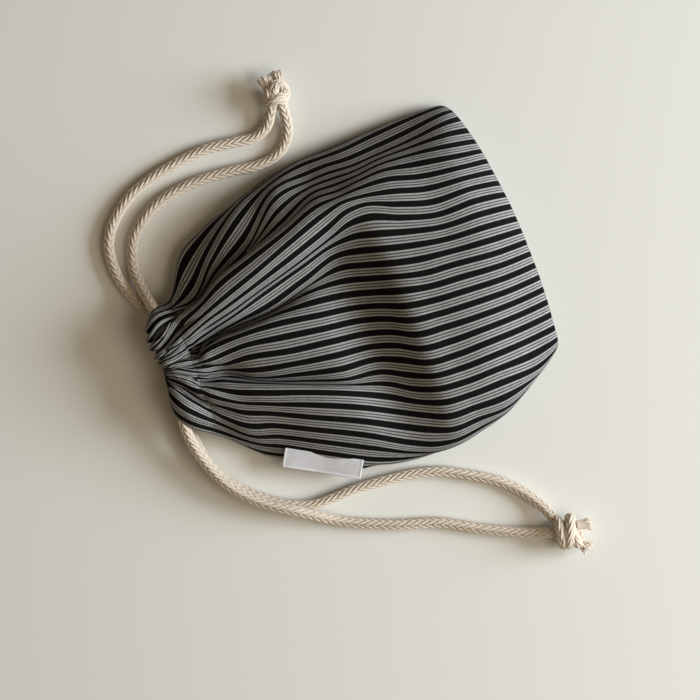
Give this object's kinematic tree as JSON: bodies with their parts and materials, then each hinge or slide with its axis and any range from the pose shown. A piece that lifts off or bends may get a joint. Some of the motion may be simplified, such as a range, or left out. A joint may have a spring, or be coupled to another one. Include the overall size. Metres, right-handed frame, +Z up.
{
  "type": "drawstring pouch",
  "caption": "Striped cotton drawstring pouch with a boxed bottom, lying on its back with its gathered mouth drawn shut by two braided cords that end in frayed knots.",
  "frame": {"origin": "on the table, under the middle of the box round the cloth and its label, without the cords", "axes": "+X from the gathered mouth to the boxed bottom, +Y across towards the upper drawcord, +Z up from the table"},
  "size_m": [0.1973, 0.2801, 0.0362],
  "materials": {
    "striped_cloth": "matte woven cotton, black with pale grey stripes",
    "woven_label": "pale satin ribbon, bare",
    "braided_cord": "undyed braided cotton cord"
  },
  "bodies": {
    "root": {"pouch_cloth": "striped_cloth", "side_label": "woven_label", "drawcord_upper": "braided_cord", "drawcord_lower": "braided_cord", "drawcord_upper_knot": "braided_cord", "drawcord_lower_knot": "braided_cord"}
  },
  "joints": []
}
